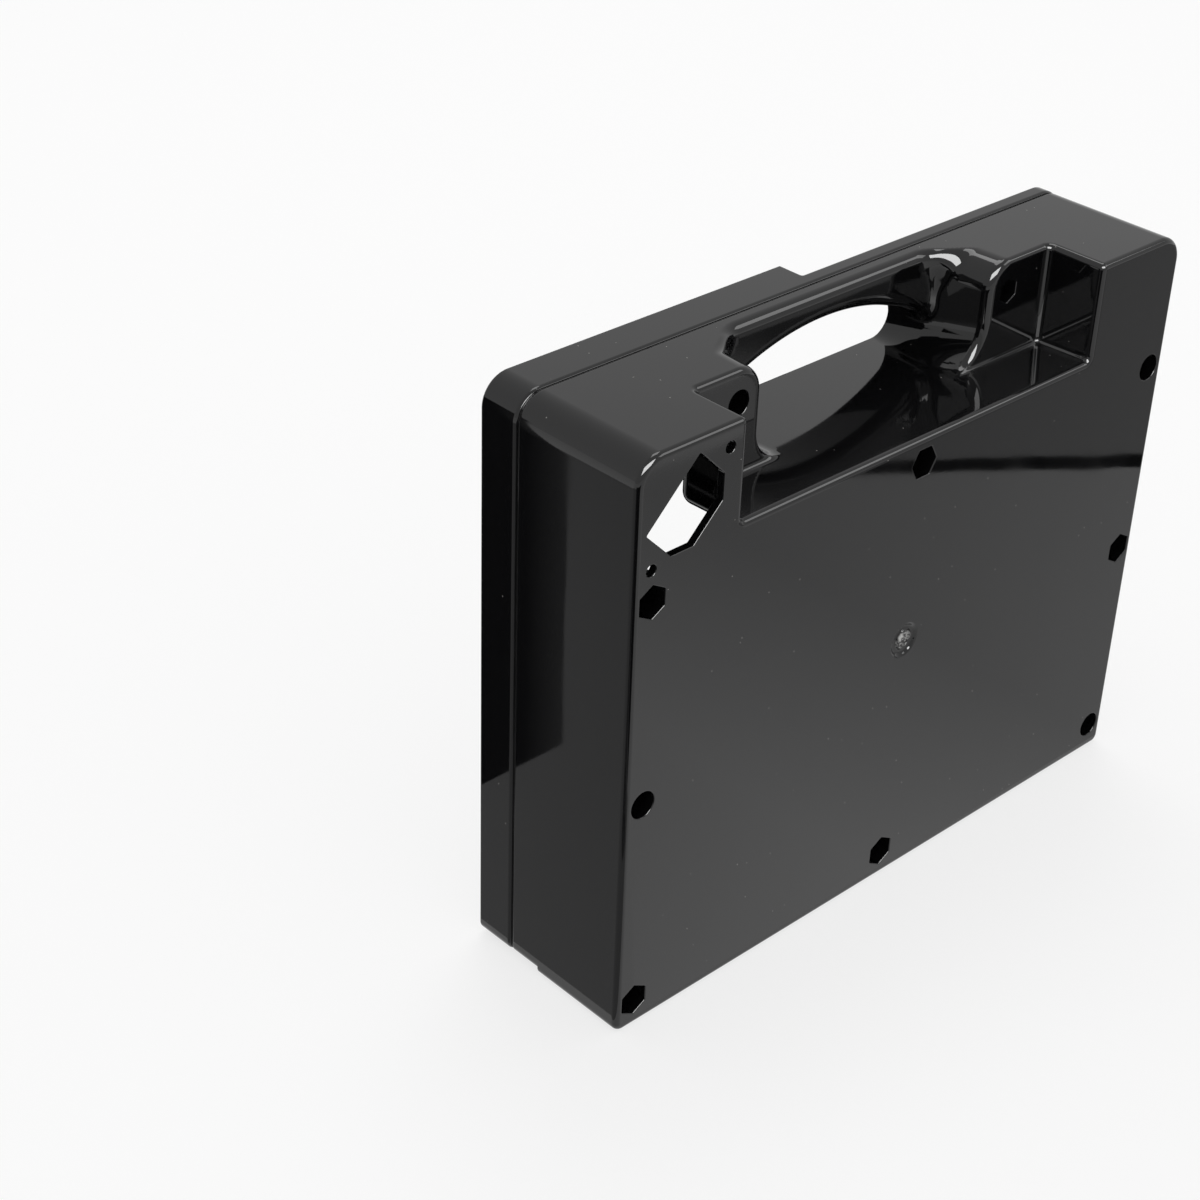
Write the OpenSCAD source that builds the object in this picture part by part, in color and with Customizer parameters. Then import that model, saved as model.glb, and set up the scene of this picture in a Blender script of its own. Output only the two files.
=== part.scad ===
// Half of a two-part moulded case shell with a carrying handle at its top.
// The closed face looks toward -Y, the open side toward +Y. Millimetres, +Z up.
// The origin lies at the middle of the underside, half way between the face and the long rim.

/* [Case] */
// Width of the case along X
case_w = 240; // [180:1:320]
// Height of the case along Z
case_h = 199; // [150:1:280]
// Thickness of the closed case when two halves are joined
case_t = 118.6; // [80:0.2:180]
// Depth of the half that reaches past the joint, left of the middle
rim_long = 64; // [45:0.2:95]
// Thickness of the walls
wall = 2.6; // [1.8:0.1:4]
// Radius of the two upper corners
top_r = 9.5; // [5:0.5:20]
// Radius of the two lower corners
low_r = 3.5; // [3:0.5:10]
// Rounding between the closed face and the sides
edge_r = 2; // [0.5:0.1:3]

/* [Joint] */
// Distance of the line groove from the closed face
groove_y = 48.9; // [30:0.1:52]
// Width of the line groove
groove_w = 1.4; // [0.8:0.1:3]
// Depth of the line groove
groove_d = 0.6; // [0.3:0.1:1.2]
// Height by which the band behind the groove stands proud
band_h = 0.25; // [0.1:0.05:0.6]
// Width of the ledge inside the short rim
ledge_w = 2.2; // [1:0.1:4]
// Distance of the ledge below the short rim
ledge_drop = 2; // [1:0.1:5]
// Depth of the ledge along Y
ledge_t = 5; // [2:0.1:6]

/* [Foot] */
// Depth of the foot from the closed face
foot_y = 36; // [20:0.5:50]
// Height by which the foot lies below the rest of the underside
foot_h = 1.5; // [0.5:0.1:3]

/* [Handle] */
// Width of the recess in the closed face
recess_w = 157; // [120:1:180]
// Depth of the recess
recess_y = 21.5; // [15:0.5:30]
// Depth of the recess floor below the top, at the closed face
floor_drop = 33.4; // [24:0.1:49]
// Fall of the recess floor from the closed face to the joint
floor_fall = 2; // [0.2:0.1:4]
// Radius of the corners of the recess
recess_r = 2; // [1:0.1:4]
// Half width of the hollow at the recess
hollow_x = 50; // [40:0.5:60]
// Radius of the hollow above the floor
hollow_r = 15; // [8:0.5:18]
// Outward sweep of the hollow under the top
sweep_r = 9.5; // [4:0.5:12]
// Distance of the grip from the closed face
grip_y = 42; // [35:0.5:48]
// Radius of the nose of the grip
nose_r = 5; // [3:0.1:6]
// Thickness of the grip at its middle
arch_drop = 11; // [8:0.5:19]
// Half width of the finger opening at the joint
hole_x = 48; // [35:0.5:51]
// Radius of the ends of the finger opening
hole_r = 7; // [4:0.5:9]

/* [Screws] */
// Distance of the side screws from the sides
screw_in = 7.5; // [7.5:0.5:30]
// Height of the lower screws
low_z = 10; // [9:0.5:20]
// Height of the side screws at half height
mid_z = 84; // [60:0.5:110]
// Distance of the upper side screws from the top
high_drop = 46; // [42:0.5:79]
// Distance of the screw below the recess from the top
top_drop = 42; // [41.5:0.5:59]
// Distance of the handle screws from the middle
grip_x = 60; // [58:0.5:70]
// Distance of the handle screws from the top
grip_drop = 11; // [9:0.5:19]
// Diameter of the screws
screw_d = 4; // [3:0.5:5]
// Clearance around the screws
screw_gap = 0.5; // [0.2:0.1:1]
// Width across the flats of the nut pockets
nut_w = 9.6; // [7:0.1:10]
// Diameter of the head pockets
head_d = 9; // [7:0.1:10]
// Width across the flats of the nut pocket in the recess
grip_nut_w = 7.2; // [6:0.1:9.6]
// Diameter of the head pocket in the recess
grip_head_d = 8.2; // [7:0.1:10]
// Depth of the pockets in the closed face
pocket_y = 30; // [10:1:45]
// Depth of the pockets in the recess
grip_pocket_y = 12; // [6:1:20]
// Diameter of the sleeves around the pockets
sleeve_d = 14.4; // [13:0.1:15]
// Diameter of the screw posts
post_d = 12; // [11:0.5:14]
// Diameter of the ends of the posts
tip_d = 10.3; // [8:0.1:10.8]
// Thickness of the webs beside the posts
web_t = 1.6; // [1:0.1:2.5]

/* [Inlet] */
// Distance of the inlet from the side
inlet_in = 20.7; // [18:0.1:25]
// Distance of the inlet from the top
inlet_drop = 21.4; // [19:0.1:25]
// Width of the inlet opening
inlet_w = 27; // [26:0.1:28]
// Height of the inlet opening
inlet_h = 19.8; // [19:0.1:21]
// Cut corners of the inlet opening
inlet_cut = 6; // [4:0.1:7]
// Distance between the inlet screws
inlet_pitch = 40; // [36:0.1:44]
// Diameter of the inlet screw holes
inlet_hole = 3.8; // [3:0.1:4.5]

/* [Gate mark] */
// Height of the gate mark
gate_z = 93.5; // [60:0.5:120]
// Radius of the shallow recess around the gate mark
gate_r = 6.2; // [4:0.1:9]
// Depth of that recess
gate_d = 0.9; // [0.2:0.1:1]
// Radius of the stub left by the gate
stub_r = 2.4; // [1:0.1:4]

/* [Hidden] */
black = [0.06, 0.06, 0.065];
eps = 0.5;
// Small overlap that keeps the drawn arcs of the hollow from ending in a plane
sink = 0.2;
far = 40;
// Smallest corner that an outline is drawn with
least_r = 0.5;
round_n = 64;
rim_short = case_t - rim_long;
split_y = case_t / 2;
floor_z = case_h - floor_drop;
arch_z = case_h - arch_drop;
screw_x = case_w / 2 - screw_in;
high_z = case_h - high_drop;
top_z = case_h - top_drop;
grip_z = case_h - grip_drop;
inlet_x = case_w / 2 - inlet_in;
inlet_z = case_h - inlet_drop;
inner_z = foot_h + wall;
// Turn of the inlet in the face
inlet_turn = 45;
screw_hole = screw_d + screw_gap;
arch_rise = arch_z - (floor_z - floor_fall) - hole_r;
arch_r = (pow(hole_x - hole_r, 2) + pow(arch_rise, 2) - pow(hole_r, 2)) / (2 * (arch_rise - hole_r));
// Places of the nut pockets in the closed face, turn of the hexagon last
nuts = [[-screw_x, high_z, 90], [-screw_x, low_z, 90], [0, low_z, 90], [screw_x, mid_z, 90], [0, top_z, 0]];
// Places of the head pockets in the closed face
heads = [[-screw_x, mid_z], [screw_x, high_z], [screw_x, low_z]];
// Points on each arc of the hollow and of the arch
arc_n = 7;
arch_n = 10;
// Share of the end radius in which the arch turns into the sides of the finger opening
arch_turn = 0.3;
// Share of the nose's height that it still has at the ends of the arch
nose_low = 0.5;

// Turns a drawing in the XZ plane into a block from y0 to y1.
module along_y(y0, y1) {
    translate([0, y1, 0]) rotate([90, 0, 0]) linear_extrude(height = y1 - y0) children();
}

// Outline of the case, smaller by inset on all sides; the foot lies at height 0.
module outline(inset) {
    w = case_w / 2 - inset;
    z0 = inset - band_h;
    rt = max(top_r - inset, least_r);
    rl = max(low_r - inset, least_r);
    difference() {
        translate([-w, z0]) square([2 * w, case_h - inset - z0]);
        for (s = [-1, 1]) {
            translate([s * w, case_h - inset]) corner_cut(rt, s, 1);
            translate([s * w, z0]) corner_cut(rl, s, -1);
        }
    }
}

// What a rounded corner takes away, with the corner at the origin.
module corner_cut(r, sx, sz) {
    difference() {
        translate([sx > 0 ? -r : -eps, sz > 0 ? -r : -eps]) square(r + eps);
        translate([-sx * r, -sz * r]) circle(r = r, $fn = round_n);
    }
}

// Solid case before hollowing, with the edge of the closed face rounded.
module solid_case() {
    difference() {
        along_y(0, rim_long) outline(0);
        face_edge();
        // Sides lie back by the height of the band up to the groove
        along_y(-eps, groove_y - groove_w / 2) ring(band_h);
        along_y(groove_y - groove_w / 2, groove_y + groove_w / 2) ring(band_h + groove_d);
        // Short half of the rim
        translate([0, rim_short, -far]) cube([case_w, far, case_h + 2 * far]);
        // Underside behind the foot
        translate([-case_w, foot_y, -far]) cube([2 * case_w, case_t, foot_h + far]);
    }
}

// Everything outside the outline that is smaller by inset.
module ring(inset) {
    difference() {
        translate([-case_w / 2 - far, -far]) square([case_w + 2 * far, case_h + 2 * far]);
        outline(inset);
    }
}

// What the rounding of the closed face takes away along the sides.
module face_edge() {
    w = case_w / 2 - band_h;
    top = case_h - band_h;
    rt = top_r - band_h;
    rl = low_r - band_h;
    for (s = [-1, 1]) {
        translate([s * w, 0, rl]) edge_run(top - rt - rl, s);
        translate([s * (w - rt), 0, top - rt]) rotate([90, 0, 0]) edge_turn(rt, s > 0 ? 0 : 90);
        translate([s * (w - rl), 0, rl]) rotate([90, 0, 0]) edge_turn(rl, s > 0 ? 270 : 180);
    }
    translate([-(w - rt), 0, top]) rotate([0, 90, 0]) edge_run(2 * (w - rt), -1);
    translate([-(w - rl), 0, 0]) rotate([0, 90, 0]) edge_run(2 * (w - rl), 1);
}

// Rounding profile, the edge at the origin, the case at negative first and positive second side.
module edge_profile() {
    difference() {
        translate([-edge_r, -eps]) square([edge_r + eps, edge_r + eps]);
        translate([-edge_r, edge_r]) circle(r = edge_r, $fn = round_n);
    }
}

// Straight run of the rounding, upward from the origin.
module edge_run(length, s) {
    linear_extrude(height = length) scale([s, 1]) edge_profile();
}

// Quarter turn of the rounding about a corner of radius r.
module edge_turn(r, from) {
    rotate([0, 0, from]) rotate_extrude(angle = 90, $fn = round_n)
        intersection() {
            translate([r, 0]) scale([1, -1]) edge_profile();
            translate([0, -far]) square([r + far, 2 * far]);
        }
}

// Height of the recess floor at a distance from the closed face.
function floor_at(y) = floor_z - floor_fall * y / split_y;

// Share of the way from the recess to the joint at depth y.
function share(y) = (y - recess_y) / (split_y - recess_y);

// Lower corner that both outlines of the hollow start with, larger by grow.
function lower_half(y, grow) = let(
    hx = side_at(y),
    r = hollow_r + (hole_r - hollow_r) * share(y),
    zc = floor_at(y) - sink + r
) [for (i = [0:arc_n]) let(a = -90 + 90 * i / arc_n)
    [hx - r + (r + grow) * cos(a), zc + (r + grow) * sin(a)]];

// Half width of the hollow at depth y.
function side_at(y) = hollow_x + (hole_x - hollow_x) * share(y);

// Half outline of the hollow in front of the grip, from the floor up, at depth y, larger by grow.
function front_half(y, grow) = let(
    hx = side_at(y) + grow,
    q = min(1, (y - recess_y) / (grip_y - recess_y)),
    full = sweep_r * (pow(cos(90 * q), 2) - pow(1 - cos(90 * q), 2)),
    turn = full > grow ? full - grow : min(full, 0),
    rise = sink + (full > grow ? sweep_r - grow : sweep_r),
    zc = case_h - sweep_r
) concat(
    lower_half(y, grow),
    [for (i = [1:arc_n]) let(a = 90 * i / arc_n) [hx + turn * (1 - cos(a)), zc + rise * sin(a)]],
    [for (i = [1:arch_n]) let(t = i / arch_n) [(hx + turn) * (1 - t), zc + rise + far * t]]
);

// Half outline of the finger opening at depth y, raised by lift above the arch, larger by grow.
function hole_half(y, lift, grow) = let(
    low = lower_half(y, grow),
    side = low[len(low) - 1],
    xe = side[0] - hole_r * arch_turn,
    za = arch_z - arch_r,
    ze = max(za + sqrt(pow(arch_r, 2) - pow(xe, 2)) + lift * nose_low, side[1] + eps)
) concat(
    low,
    [for (i = [1:arc_n]) let(a = 90 * i / arc_n)
        [xe + (side[0] - xe) * cos(a), side[1] + (ze - side[1]) * sin(a)]],
    [for (i = [1:arch_n]) let(x = xe * (1 - i / arch_n), f = 1 - pow(x / xe, 4))
        [x, max(ze, za + sqrt(pow(arch_r, 2) - pow(x, 2)) + lift * (nose_low + (1 - nose_low) * f))]]
);

// Full section at depth y from a half outline.
function section(p, y) = concat(
    [for (i = [0:len(p) - 1]) [p[i][0], y, p[i][1]]],
    [for (i = [len(p) - 2:-1:0]) [-p[i][0], y, p[i][1]]]);

// Depths at which the hollow is drawn in front of the grip.
front_y = [for (t = [0:1 / 6:1.001]) recess_y + (grip_y - recess_y) * sin(90 * t)];
// Angles at which the nose is drawn.
nose_a = [0:15:90];

// Space behind the recess: hollow, nose of the grip and finger opening, larger by grow.
module hollow_space(grow) {
    rn = nose_r - grow;
    rows = concat(
        [section(front_half(recess_y, grow), recess_y - far)],
        [for (y = front_y) section(front_half(y, grow), y + (y > grip_y - sink ? grow : sink))],
        [for (a = nose_a) section(hole_half(grip_y, nose_r - rn * sin(a), grow),
            grip_y + nose_r - rn * cos(a))],
        [section(hole_half(split_y, grow, grow), split_y + sink)]);
    n = len(rows[0]);
    m = len(rows);
    // Triangles of the strips, without those that have no area where two rows share points
    strips = [for (j = [0:m - 2]) for (i = [0:n - 1])
        let(k = (i + 1) % n, a = rows[j][i], b = rows[j + 1][i], c = rows[j + 1][k], d = rows[j][k])
        each concat(
            norm(a - b) > 0.001 ? [[j * n + i, (j + 1) * n + k, (j + 1) * n + i]] : [],
            norm(c - d) > 0.001 ? [[j * n + i, j * n + k, (j + 1) * n + k]] : [])];
    polyhedron(
        points = [for (row = rows) for (q = row) q],
        faces = concat(
            [[for (i = [n - 1:-1:0]) i]],
            [[for (i = [0:n - 1]) (m - 1) * n + i]],
            strips),
        convexity = 8);
}

// Recess in the closed face without its floor, larger by grow.
module recess_space(grow) {
    w = recess_w / 2 + grow;
    d = recess_y + grow;
    r = max(recess_r - grow, 0);
    linear_extrude(height = case_h + far) difference() {
        translate([-w, -far]) square([2 * w, d + far]);
        if (r > 0) for (s = [-1, 1]) translate([s * w, d]) corner_cut(r, s, 1);
    }
}

// Recess, hollow and finger opening above one common floor, larger by grow.
module handle_space(grow) {
    intersection() {
        union() {
            recess_space(grow);
            hollow_space(grow);
        }
        translate([-case_w, 0, 0]) rotate([90, 0, 90]) linear_extrude(height = 2 * case_w)
            polygon([[-2 * far, floor_at(-2 * far) - grow], [case_t, floor_at(case_t) - grow],
                [case_t, 2 * case_h], [-2 * far, 2 * case_h]]);
    }
}

// Walls around the recess and the hollow.
module handle_walls() {
    intersection() {
        handle_space(wall);
        along_y(wall / 2, split_y) outline(wall / 2);
    }
}

// One post with its sleeve, standing on a surface at y0.
module post(x, z, y0, deep) {
    translate([x, y0, z]) rotate([-90, 0, 0]) {
        cylinder(d = sleeve_d, h = deep + wall, $fn = round_n);
        cylinder(d = post_d, h = rim_short - y0, $fn = round_n);
        cylinder(d = tip_d, h = split_y - y0, $fn = round_n);
    }
}

// Web from a post to the nearer side wall.
module web(x, z) {
    reach = case_w / 2 - wall / 2 - abs(x);
    for (t = [-1, 1])
        translate([x > 0 ? x : x - reach, wall / 2, z + t * (post_d - web_t) / 2 - web_t / 2])
            cube([reach, rim_short - wall / 2, web_t]);
}

// Round pocket and screw hole from a surface at y0.
module head_hole(x, z, y0, deep, d) {
    translate([x, y0, z]) rotate([-90, 0, 0]) {
        translate([0, 0, -eps]) cylinder(d = d, h = deep + eps, $fn = round_n);
        cylinder(d = screw_hole, h = case_t, $fn = round_n);
    }
}

// Six-sided pocket and screw hole from a surface at y0.
module nut_hole(x, z, y0, deep, turn, w) {
    translate([x, y0, z]) rotate([-90, 0, 0]) {
        translate([0, 0, -eps]) rotate([0, 0, turn]) cylinder(r = w / 2 / cos(30), h = deep + eps, $fn = 6);
        cylinder(d = screw_hole, h = case_t, $fn = round_n);
    }
}

// Opening and screw holes of the inlet, through the closed face.
module inlet_space() {
    w = inlet_w / 2;
    h = inlet_h / 2;
    c = inlet_cut;
    along_y(-eps, wall + eps) translate([-inlet_x, inlet_z]) rotate(inlet_turn) {
        polygon([[-w, -h + c], [-w + c, -h], [w - c, -h], [w, -h + c], [w, h], [-w, h]]);
        for (s = [-1, 1]) translate([s * inlet_pitch / 2, 0]) circle(d = inlet_hole, $fn = round_n);
    }
}

// Half of the case shell with recess, grip, posts, pockets and inlet opening.
module housing_half() {
    color(black) translate([0, -rim_long / 2, 0]) difference() {
        union() {
            difference() {
                solid_case();
                along_y(wall, rim_long + eps) intersection() {
                    outline(wall);
                    translate([-case_w, inner_z]) square([2 * case_w, case_h]);
                }
            }
            handle_walls();
            // Ledge inside the short rim
            along_y(rim_short - ledge_drop - ledge_t, rim_short - ledge_drop) intersection() {
                difference() {
                    outline(wall / 2);
                    outline(wall + ledge_w);
                }
                translate([0, inner_z / 2]) square([case_w, case_h]);
            }
            intersection() {
                union() {
                    for (p = nuts) post(p[0], p[1], wall / 2, pocket_y);
                    for (p = heads) post(p[0], p[1], wall / 2, pocket_y);
                    for (s = [-1, 1]) post(s * grip_x, grip_z, recess_y + wall / 2, grip_pocket_y);
                    for (s = [-1, 1]) for (z = [low_z, mid_z, high_z]) web(s * screw_x, z);
                }
                along_y(0, split_y) difference() {
                    outline(wall / 2);
                    translate([-case_w, 0]) square([2 * case_w, inner_z / 2]);
                }
            }
            // Stub of the gate
            translate([0, gate_d + eps, gate_z]) rotate([90, 0, 0])
                cylinder(r = stub_r, h = gate_d + eps - band_h, $fn = round_n);
        }
        handle_space(0);
        for (p = nuts) nut_hole(p[0], p[1], 0, pocket_y, p[2], nut_w);
        for (p = heads) head_hole(p[0], p[1], 0, pocket_y, head_d);
        head_hole(-grip_x, grip_z, recess_y, grip_pocket_y, grip_head_d);
        nut_hole(grip_x, grip_z, recess_y, grip_pocket_y, 90, grip_nut_w);
        inlet_space();
        // Shallow recess around the gate stub
        translate([0, gate_d, gate_z]) rotate([90, 0, 0]) difference() {
            cylinder(r = gate_r, h = gate_d + eps, $fn = round_n);
            translate([0, 0, -eps]) cylinder(r = stub_r, h = gate_d + eps, $fn = round_n);
        }
    }
}

housing_half();
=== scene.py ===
"""Half of a moulded case shell with a carrying handle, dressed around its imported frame.

The piece is one closed mesh in millimetres, turned to metres at the end. Sweeps carry exact profiles
round the case and the pockets, a field of rounded solids gives the handle and the inside, and flat
faces fill what lies between them. Each face corner carries the normal of the surface that it is on.
"""

import bpy
import numpy as np
from mathutils import Matrix, Vector
from mathutils.geometry import delaunay_2d_cdt


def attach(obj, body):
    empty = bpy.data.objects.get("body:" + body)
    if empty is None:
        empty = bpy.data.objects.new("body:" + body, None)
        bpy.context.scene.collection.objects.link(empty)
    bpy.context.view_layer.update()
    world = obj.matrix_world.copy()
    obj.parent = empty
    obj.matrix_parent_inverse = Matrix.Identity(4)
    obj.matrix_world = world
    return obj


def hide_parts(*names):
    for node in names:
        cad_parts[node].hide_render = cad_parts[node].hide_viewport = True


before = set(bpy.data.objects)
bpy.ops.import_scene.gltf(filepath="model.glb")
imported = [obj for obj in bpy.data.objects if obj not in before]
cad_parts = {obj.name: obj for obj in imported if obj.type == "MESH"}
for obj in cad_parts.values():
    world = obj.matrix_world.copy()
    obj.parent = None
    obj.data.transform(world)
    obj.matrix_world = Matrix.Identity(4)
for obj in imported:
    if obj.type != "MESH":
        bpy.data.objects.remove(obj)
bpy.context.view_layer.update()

# Case: millimetres, in the frame of the CAD
HALF_W, HEIGHT, FACE, WALL = 120.0, 199.0, -32.0, 2.6
TOP_R, LOW_R, EDGE_R, PROUD = 9.5, 3.5, 2.0, 0.25
LOW_Z, FOOT_Y, REAR_UP = -PROUD, 4.0, 1.5
BODY_TOP = HEIGHT - PROUD
INNER_W, INNER_LOW, INNER_TOP, INNER_Y = HALF_W - WALL, 4.1, BODY_TOP - WALL, FACE + WALL
# Ends of the long and the short rim, and the plane between them where the posts end
LONG_END, SHORT_END, SPLIT = 32.0, 22.6, 27.3
# Groove round the case, and ledge inside the short rim: start, end, depth or height
GROOVE = (16.45, 16.95, 0.9)
LEDGE = (15.6, 20.6, 2.2)
# Where the band's sweep ends, and where the sweeps hand over to the mesh of the field
BAND_Y, SEAM_Y, SEAM_X, SWEEP_X = 18.2, 19.0, 92.0, 95.0
# Roundings of the rim, of the corners of the inside and of the ledge
RIM_R, ROOM_LOW_R, ROOM_R, OUTER_R, LEDGE_R = 0.5, 1.2, 0.8, 0.9, 0.4
# Handle: recess and its sloping floor, grip, corners of the hollow on the left and on the right
RECESS_X, RECESS_Y, FLOOR_Z, FLOOR_FALL = 78.5, -10.5, 165.6, 2.0
GRIP_Y, NOSE_R, ARCH_Z, ARCH_R = 10.0, 5.0, 95.7, 92.3
HOLLOW_R, TUNNEL_R, SWEEP_R, LIP_R = (11.0, 15.0), 7.0, 9.5, 3.5
RECESS_R, FLOOR_R, JACKET_R = 2.0, 1.8, 0.6
# Foot of the lobes: half the room between them, radius, and how far it reaches behind the recess
FOOT_X, FOOT_R, FOOT_DEEP = 50.9, 5.5, 6.0
# Half width of the hollow and the tunnel over their depth
SIDE_Y, SIDE_X = (-10.5, -7.5, 4.5, 12.0, 27.3), (50.9, 50.1, 49.3, 48.5, 48.0)
# Edge between the hollow's walls and the grip: radius, what it gains higher up, where and over what height
TURN_R, TURN_GAIN, TURN_Z, TURN_RISE = 3.0, 6.0, 182.0, 14.0
# Lip of the hollow: where it starts to tighten and over what depth, then the height
# in which the roundings fade at the floor
LIP_Y, LIP_DEEP, FLOOR_FADE = 1.0, 8.0, 3.0
# The walls round the handle reach back to here; above this height the case belongs to it
JACKET_Y, HANDLE_Z = 14.0, 150
# Screws: places, then nut pockets with their turn and head pockets
SCREW_X, SCREW_LOW, SCREW_MID, SCREW_HIGH, SCREW_TOP = 112.5, 10, 84, 153, 157
NUTS = ((-SCREW_X, SCREW_HIGH, 90), (-SCREW_X, SCREW_LOW, 90), (0, SCREW_LOW, 90), (SCREW_X, SCREW_MID, 90),
        (0, SCREW_TOP, 0))
HEADS = ((-SCREW_X, SCREW_MID), (SCREW_X, SCREW_HIGH), (SCREW_X, SCREW_LOW))
LOBE_X, LOBE_Z = 60.0, 188.0
# Bottoms of the pockets and ends of the sleeves
POCKET_Y, SLEEVE_Y, LOBE_POCKET_Y, LOBE_SLEEVE_Y = -2.0, 0.6, 1.5, 4.1
NUT_W, HEAD_R, BORE_R, SLEEVE_R, POST_R, TIP_R = 9.6, 4.5, 2.25, 7.2, 6.0, 5.15
LOBE_NUT_W, LOBE_HEAD_R, NUT_CORNER_R = 7.2, 4.1, 0.35
# Roundings of a post: end of the sleeve, other ends, corners of its two steps
SLEEVE_END_R, POST_END_R, STEP_R = 0.6, 0.5, (0.4, 0.3)
# Two webs beside each side post: distance from its middle, half thickness, rounding
WEB_OFF, WEB_HALF, WEB_R = 5.2, 0.8, 0.4
# Inlet: centre, width and height, cut corners, the screws' distance and radius, turn in degrees
INLET = (-99.3, 177.6, 27.0, 19.8, 6.0, 20.0, 1.9, 45.0)
# Gate mark: centre and radius
GATE = (0.0, 93.5, 6.2)
# Grid for the handle and the inside: where it starts, then the end and step of each run. It is fine where
# the roundings are small
GRID_X = (0.2, (1.4, 0.4), (9, 1.1), (44, 1.25), (64, 0.7), (75, 1.2), (82, 0.54), (94, 1.2), (104, 2.0),
          (116, 1.0), (120.7, 0.43))
GRID_Y = (-33.23, (-28.6, 0.5), (-12, 1.3), (-6, 0.54), (14, 0.78), (21.3, 1.0), (23.5, 0.38), (26.1, 1.0),
          (28.1, 0.38), (30.9, 1.0), (32.9, 0.38))
GRID_Z = (-0.87, (5.6, 0.52), (19, 1.1), (74, 2.6), (94, 1.1), (142, 2.6), (159.5, 1.1), (161.2, 0.3),
          (170, 0.64), (186, 0.84), (199.8, 0.5))
# Farther than any wall, for a field that starts empty
FAR = 50.0

parts = []


def rounded_and(a, b, r):
    """Distance to what two solids share, the edge between them rounded with radius r."""
    return np.minimum(-r, np.maximum(a, b)) + np.hypot(np.maximum(r + a, 0), np.maximum(r + b, 0))


def rounded_or(a, b, r):
    """Distance to two solids together, the corner between them filled with radius r."""
    return np.maximum(r, np.minimum(a, b)) - np.hypot(np.maximum(r - a, 0), np.maximum(r - b, 0))


def ease(t):
    """Smooth step from 0 to 1."""
    t = np.clip(t, 0, 1)
    return t * t * (3 - 2 * t)


def rectangle(x, z, half, low, top, r_low, r_top):
    """Distance to a rectangle with two radii at the top and two at the bottom."""
    mid = (low + top) / 2
    r = np.where(z > mid, r_top, r_low)
    qx = np.abs(x) - half + r
    qz = np.abs(z - mid) - (top - low) / 2 + r
    return np.minimum(np.maximum(qx, qz), 0) + np.hypot(np.maximum(qx, 0), np.maximum(qz, 0)) - r


def case_outline(x, z):
    """Distance to the outline of the band behind the groove."""
    return rectangle(x, z, HALF_W, LOW_Z + REAR_UP, HEIGHT, LOW_R, TOP_R)


def handle_spaces(x, y, z):
    """Distances to the recess, to the hollow with the finger tunnel, and to the floor that they share."""
    ax = np.abs(x)
    floor = FLOOR_Z - FLOOR_FALL * (y - FACE) / (SPLIT - FACE) - z
    flare = np.where(x < 0, *HOLLOW_R)
    foot = rounded_and(RECESS_Y - y, FOOT_X - flare - ax, FOOT_R)
    back = np.maximum(-foot, y - RECESS_Y - FOOT_DEEP)
    recess = rounded_and(rounded_and(ax - RECESS_X, back, RECESS_R), floor, FLOOR_R)
    share = (y - RECESS_Y) / (SPLIT - RECESS_Y)
    side = np.interp(y, SIDE_Y, SIDE_X)
    walls = rounded_and(ax - side, floor, flare + (TUNNEL_R - flare) * np.clip(share, 0, 1))
    arch = np.hypot(x, z - ARCH_Z) - ARCH_R
    around_grip = rounded_or(y - GRIP_Y, arch, NOSE_R)
    turn = TURN_R + TURN_GAIN * ease((z - TURN_Z) / TURN_RISE)
    hollow = rounded_and(walls, around_grip, turn)
    return recess, hollow, floor


def handle_solid(x, y, z):
    """Distance to the case seen from the front and above, with recess, hollow, grip and tunnel cut out."""
    recess, hollow, floor = handle_spaces(x, y, z)
    front = rounded_and(FACE - y, -recess, EDGE_R)
    top_z = np.where(y > GROOVE[1], HEIGHT + 5, BODY_TOP)
    lip = LIP_R + (SWEEP_R - LIP_R) * (1 - ease((y - LIP_Y) / LIP_DEEP))
    top = rounded_and(z - top_z, -hollow, lip)
    off_floor = ease(-floor / FLOOR_FADE)
    plain = np.maximum(front, top)
    return plain + off_floor * (rounded_and(front, top, EDGE_R) - plain)


def post(x, y, z, px, pz, sleeve_end):
    """Distance to a stepped screw post: three cylinders with rounded ends."""
    rho = np.hypot(x - px, z - pz)
    sleeve = rounded_and(rho - SLEEVE_R, y - sleeve_end, SLEEVE_END_R)
    stem = rounded_and(rho - POST_R, y - SHORT_END, POST_END_R)
    tip = rounded_and(rho - TIP_R, y - SPLIT, POST_END_R)
    return rounded_or(rounded_or(sleeve, stem, STEP_R[0]), tip, STEP_R[1])


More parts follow.
